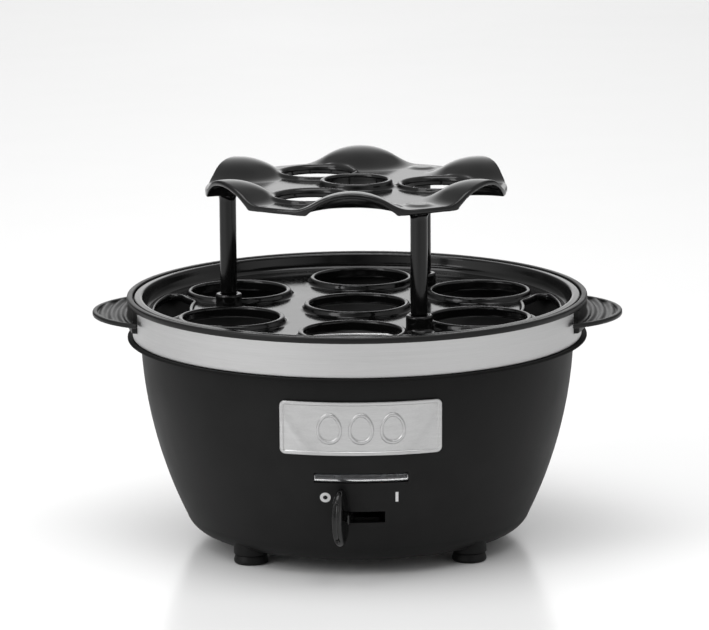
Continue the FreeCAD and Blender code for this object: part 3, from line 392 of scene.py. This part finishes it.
def make_lower_tray():
    """Dished tray with seven lipped cups, two finger openings and three leg sockets."""
    low, high = corners("lower_tray")
    top = low.z + 1.6
    rim = (high.x - low.x) / 2
    rim_top = low.z + 7.1

    def field(x, y, z):
        x, y = turned_back(x, y, TRAY_TURN)
        r = np.hypot(x, y)
        floor = ring_box(r, z, -rim + 2.7, rim - 2.7, low.z, top, 0.6)
        lean = r - (z - low.z) * 0.16
        wall = ring_box(lean, z, rim - 4.1, rim - 2.7, low.z, rim_top, 0.5)
        flange = ring_box(r, z, rim - 2.6, rim, rim_top - 1.2, rim_top, 0.5)
        shape = meet(join(floor, wall, 3.0), lean - rim + 2.7, 0.5)
        shape = meet(join(shape, flange, 0.6), low.z - z, 0.4)
        cx, cy = folded(x, y, 6, 30)
        cup = np.minimum(np.hypot(cx - CUP_CIRCLE, cy), r)
        shape = join(shape, ring_box(cup, z, 16.2, 19.0, low.z + 0.3, top + 2.2, 0.9), 1.6)
        gx, gy = folded(x, y, 2, 0)
        grip = meet(meet(r - rim + 7.6, 60.5 - r, 1.2), 21.4 - np.hypot(cx - CUP_CIRCLE, cy), 2.0)
        grip = meet(grip, np.abs(np.arctan2(gy, gx)) * 66 - 21, 2.0)
        lip = meet(np.abs(grip - 0.8) - 0.8, np.abs(z - top) - 0.9, 0.6)
        shape = join(shape, lip, 1.0)
        shape = carve(shape, cup - 17, 0.9)
        shape = carve(shape, grip, 0.7)
        lx, ly = folded(x, y, 3, 60)
        leg = np.hypot(lx - LEG_CIRCLE, ly)
        shape = join(shape, ring_box(leg, z, -4.7, 4.7, top - 1.2, 89.0, 0.6), 1.4)
        return carve(shape, leg - 2.95, 0.4)

    tray = sculpt("egg_tray_lower", field, low, high, 0.5)
    finish_piece(tray, "lower_tray", "tray_gloss", "lower_tray")


# Collar ---------------------------------------------------------------------------------


def make_collar():
    """Rim over the band, with a handle tab and curved grip ribs on each side."""
    low, high = corners("top_collar")
    rim = 82.5
    tab_curve = 32.0
    tab_middle = 63.05
    tab_low = 81.6
    rib_pitch = 3.3

    def field(x, y, z):
        x, y = turned_back(x, y, TRAY_TURN)
        r = np.hypot(x, y)
        ring = ring_box(r, z, rim - 3.9, rim, high.z - 2.1, high.z, 0.45)
        shelf = meet(r - rim + 2.1, high.z - 1.8 - z, 0.3)
        neck = ring_box(r, z, rim - 3.9, rim - 2.75, 81.0, high.z - 1.7, 0.3)
        shape = join(carve(ring, shelf, 0.3), neck, 0.3)
        root = ring_box(r, z, rim - 2.7, rim - 0.2, low.z, high.z - 1.9, 0.6)
        shape = join(shape, meet(root, np.abs(y) - 22.3, 0.5), 0.5)
        reach = np.hypot(np.abs(x) - tab_middle, y)
        wave = np.cos((r - rim - 2.2) * 2 * math.pi / rib_pitch)
        body = meet(reach - tab_curve + 0.6, np.abs(z - tab_low - 0.6) - 0.6 - 0.35 * wave, 0.3)
        border = ring_box(reach, z, tab_curve - 1.8, tab_curve, tab_low, tab_low + 1.7, 0.5)
        tab = meet(join(body, border, 0.4), rim - 0.5 - r, 0.3)
        return join(shape, meet(tab, tab_low - z, 0.2), 0.4)

    collar = sculpt("collar_rim", field, low, high, 0.4)
    finish_piece(collar, "root", "collar_black", "top_collar")


# Front ----------------------------------------------------------------------------------


def off_side(x, y, z):
    """Distance outside the housing's bulged side."""
    across = SIDE_TOP[0] - SIDE_LOW[0]
    up = SIDE_TOP[1] - SIDE_LOW[1]
    chord = math.hypot(across, up)
    rise = math.sqrt(SIDE_CURVE ** 2 - chord ** 2 / 4)
    centre_r = (SIDE_TOP[0] + SIDE_LOW[0]) / 2 - up / chord * rise
    centre_z = (SIDE_TOP[1] + SIDE_LOW[1]) / 2 + across / chord * rise
    return np.hypot(np.hypot(x, y) - centre_r, z - centre_z) - SIDE_CURVE


def panel(x, z, middle, half_width, half_height, rounding):
    """Field of an upright rectangle with round corners, seen from the front."""
    across = np.abs(x) - half_width + rounding
    up = np.abs(z - middle) - half_height + rounding
    outside = np.hypot(np.maximum(across, 0), np.maximum(up, 0))
    return outside + np.minimum(np.maximum(across, up), 0) - rounding


def make_badge():
    """Curved steel badge with a raised border and three raised egg outlines."""
    low, high = corners("badge_plate")
    middle = (low.z + high.z) / 2
    half_width = (high.x - low.x) / 2
    half_height = (high.z - low.z) / 2

    def egg(x, z, at):
        up = z - middle
        width = 3.9 * (1 - 0.12 * up / 5)
        return (np.sqrt(((x - at) / width) ** 2 + (up / 5.0) ** 2) - 1) * 4.2

    def field(x, y, z):
        off = off_side(x, y, z)
        edge = panel(x, z, middle, half_width, half_height, 2.0)
        eggs = np.minimum(np.minimum(egg(x, z, -11), egg(x, z, 11)), egg(x, z, 0))
        raised = join(np.abs(eggs) - 0.45, -edge - 1.3, 0.3)
        height = 0.5 + 0.43 * np.clip(0.5 - raised / 0.4, 0, 1)
        shape = meet(off - height, 0.07 - off, 0.1)
        return meet(shape, edge, 0.35)

    badge = sculpt("badge_relief", field, low, high, 0.2)
    finish_piece(badge, "root", "badge_steel", "badge_plate")


def make_lens():
    """Long clear bar with a domed front, rounded off at both ends."""
    low, high = corners("indicator_lens")
    middle = (low.z + high.z) / 2
    half_width = (high.x - low.x) / 2
    half_height = (high.z - low.z) / 2

    def field(x, y, z):
        off = off_side(x, y, z)
        bow = ((z - middle) / half_height) ** 2
        shape = meet(off - 0.43 + 1.2 * bow, -3.35 - off, 0.2)
        return meet(shape, panel(x, z, middle, half_width, half_height, 0.7), 0.3)

    lens = sculpt("lens_bar", field, low, high, 0.2)
    finish_piece(lens, "root", "lens_clear", "indicator_lens")


def make_lever():
    """Oval paddle with a shallow front groove, on a stem with its hub and fork."""
    low, high = corners("power_lever")
    level = LEVER_LEVEL
    middle = level + 1.2
    reach = 24.3
    deep = 7.4
    tall = 10.2

    def field(x, y, z):
        x, y = turned_back(x, y + LEVER_PIVOT, LEVER_REST)
        out = -y
        up = z - middle
        oval = np.sqrt((x / 2.9) ** 2 + ((out - reach) / deep) ** 2 + (up / tall) ** 2)
        oval = (oval - 1) * 2.9
        back = 20.5 + up * 0.235 - out
        paddle = meet(meet(oval, np.abs(x) - 1.9, 0.7), back, 0.6)
        rim = np.sqrt(((out - reach) / deep) ** 2 + (up / tall) ** 2) * deep
        groove = np.hypot(x, np.maximum(deep - rim, 0) + np.maximum(np.abs(up + 1) - 6.5, 0))
        paddle = carve(paddle, groove - 1.0, 0.3)
        stem = np.maximum(np.abs(x) - 2.2, np.abs(z - level) - 1.45)
        stem = meet(stem, np.abs(out - 12.5) - 9.5, 0.3)
        shape = join(paddle, stem, 0.8)
        hub = ring_box(np.hypot(x, y), z, -4.6, 4.6, level - 3, level + 3, 0.4)
        shape = join(shape, hub, 0.4)
        prong = meet(np.abs(np.abs(x) - 2.9) - 1.0, np.abs(z - level) - 1.45, 0.3)
        prong = meet(prong, np.abs(y - 8.4) - 4.75, 0.4)
        shape = join(shape, prong, 0.3)
        return carve(shape, np.hypot(x, y) - 2.05, 0.2)

    lever = sculpt("lever_paddle", field, low, high, 0.25)
    finish_piece(lever, "lever", "lever_black", "power_lever")


def make_foot(node):
    """Rubber foot: a flared pad with a soft edge and a plug that goes up into its boss."""
    low, high = corners(node)
    at = ((low.x + high.x) / 2, (low.y + high.y) / 2)

    def field(x, y, z):
        r = np.hypot(x - at[0], y - at[1])
        waist = r + 0.35 * np.clip((z - 1.2) / 1.4, 0, 1)
        pad = ring_box(waist, z, -6.08, 6.08, 0, 3.35, 0.75)
        dimple = ring_box(r, z, -3.0, 3.0, -1, 0.5, 0.3)
        plug = ring_box(r, z, -2.9, 2.9, 2.0, high.z - 0.05, 0.6)
        return join(carve(pad, dimple, 0.3), plug, 0.3)

    foot = sculpt("rubber_" + node, field, low, high, 0.35)
    finish_piece(foot, "root", "foot_rubber", node)


# Studio ---------------------------------------------------------------------------------


def make_camera():
    data = bpy.data.cameras.new("camera")
    data.lens = CAMERA_LENS
    data.sensor_width = 36
    data.clip_end = 50
    data.shift_x = -2.6 / IMAGE_WIDTH
    data.shift_y = 2.7 / IMAGE_WIDTH
    camera = bpy.data.objects.new("camera", data)
    bpy.context.scene.collection.objects.link(camera)
    azimuth = math.radians(CAMERA_AZIMUTH)
    elevation = math.radians(CAMERA_ELEVATION)
    back = Vector((
        math.sin(azimuth) * math.cos(elevation),
        -math.cos(azimuth) * math.cos(elevation),
        math.sin(elevation),
    ))
    camera.location = CAMERA_AIM + back * CAMERA_DISTANCE
    look = (-back).to_track_quat("-Z", "Y")
    camera.rotation_mode = "QUATERNION"
    camera.rotation_quaternion = look @ Quaternion((0, 0, 1), math.radians(-CAMERA_ROLL))
    bpy.context.scene.camera = camera


def make_floor():
    """Pale, slightly glossy table, wide enough to fill every view."""
    mesh = bpy.data.meshes.new("floor")
    rings = [0.0, 0.3, 1.0, 3.0, 12.0]
    count = 64
    points = [(0, 0, 0)]
    faces = []
    for radius in rings[1:]:
        for index in range(count):
            angle = 2 * math.pi * index / count
            points.append((radius * math.cos(angle), radius * math.sin(angle), 0))
    for index in range(count):
        after = (index + 1) % count
        faces.append((0, 1 + index, 1 + after))
        for ring in range(len(rings) - 2):
            inner = 1 + ring * count
            outer = inner + count
            faces.append((inner + index, outer + index, outer + after, inner + after))
    mesh.from_pydata(points, [], faces)
    floor = piece("floor", mesh)
    floor.location.z = -0.0001
    tree, shader = material("floor_white", 0.2, Specular_IOR_Level=0.35)
    place = in_mm(tree)
    drift = noise(tree, place, 160.0, 2.0)
    tree.links.new(tones(tree, drift, grey(0.88), grey(0.9)), shader.inputs["Base Color"])
    tree.links.new(spread(tree, drift, 0.16, 0.24), shader.inputs["Roughness"])
    mesh.materials.append(bpy.data.materials["floor_white"])


def make_world():
    """Light walls all round that dim straight ahead and beside the object, under a dim ceiling."""
    world = bpy.data.worlds.new("studio")
    bpy.context.scene.world = world
    world.use_nodes = True
    tree = world.node_tree
    tree.nodes.clear()
    split = add(tree, "SeparateXYZ", {0: add(tree, "TexCoord").outputs["Generated"]}).outputs
    angle = maths(tree, "ARCTAN2", split[0], maths(tree, "MULTIPLY", split[1], -1.0))
    ramp = add(tree, "ValToRGB", {"Fac": spread(tree, angle, 0.0, 1.0, -math.pi, math.pi)})
    stops = (
        (-180, 1.3), (-172, 1.1), (-160, 0.12), (-125, 0.12), (-95, 0.5), (-80, 0.9), (-50, 1.3),
        (-20, 0.5), (0, 0.08), (18, 0.4), (45, 0.9), (75, 0.6), (100, 0.6), (125, 0.12),
        (160, 0.12), (172, 1.1), (180, 1.3),
    )
    elements = ramp.color_ramp.elements
    for number, (degrees, level) in enumerate(stops):
        position = (degrees + 180) / 360
        stop = elements[number] if number < 2 else elements.new(position)
        stop.position = position
        stop.color = (level / 2, level / 2, level / 2, 1)
    side = maths(tree, "MULTIPLY", ramp.outputs["Color"], 2.0)
    height = spread(tree, split[2], 0.0, 1.0, 0.25, 0.8)
    around = maths(tree, "MULTIPLY", side, maths(tree, "SUBTRACT", 1.0, height))
    level = maths(tree, "ADD", around, maths(tree, "MULTIPLY", height, 0.55))
    seen = add(tree, "LightPath").outputs["Is Camera Ray"]
    shown = maths(tree, "MAXIMUM", level, seen)
    background = add(tree, "Background", {"Color": (1, 1, 1, 1), "Strength": shown})
    add(tree, "OutputWorld", {"Surface": background.outputs[0]})


def make_light(name, place, size, power):
    """Rectangular soft box that faces the object and isn't seen by the camera."""
    data = bpy.data.lights.new(name, "AREA")
    data.shape = "RECTANGLE"
    data.size, data.size_y = size
    data.energy = power
    light = bpy.data.objects.new(name, data)
    bpy.context.scene.collection.objects.link(light)
    light.location = place
    light.rotation_mode = "QUATERNION"
    light.rotation_quaternion = (CAMERA_AIM - light.location).to_track_quat("-Z", "Y")
    light.visible_camera = False


def make_studio():
    make_camera()
    make_floor()
    make_world()
    make_light("top_box", Vector((-0.08, -0.25, 1.5)), (1.6, 1.1), 17)
    make_light("left_box", Vector((-1.2, -0.9, 0.9)), (0.6, 1.0), 6)
    bpy.context.scene.view_settings.view_transform = "Standard"


make_materials()
make_upper_tray()
make_lower_tray()
make_collar()
make_badge()
make_lens()
make_lever()
for side in ("front_left", "front_right", "rear_left", "rear_right"):
    make_foot("foot_" + side)
make_studio()
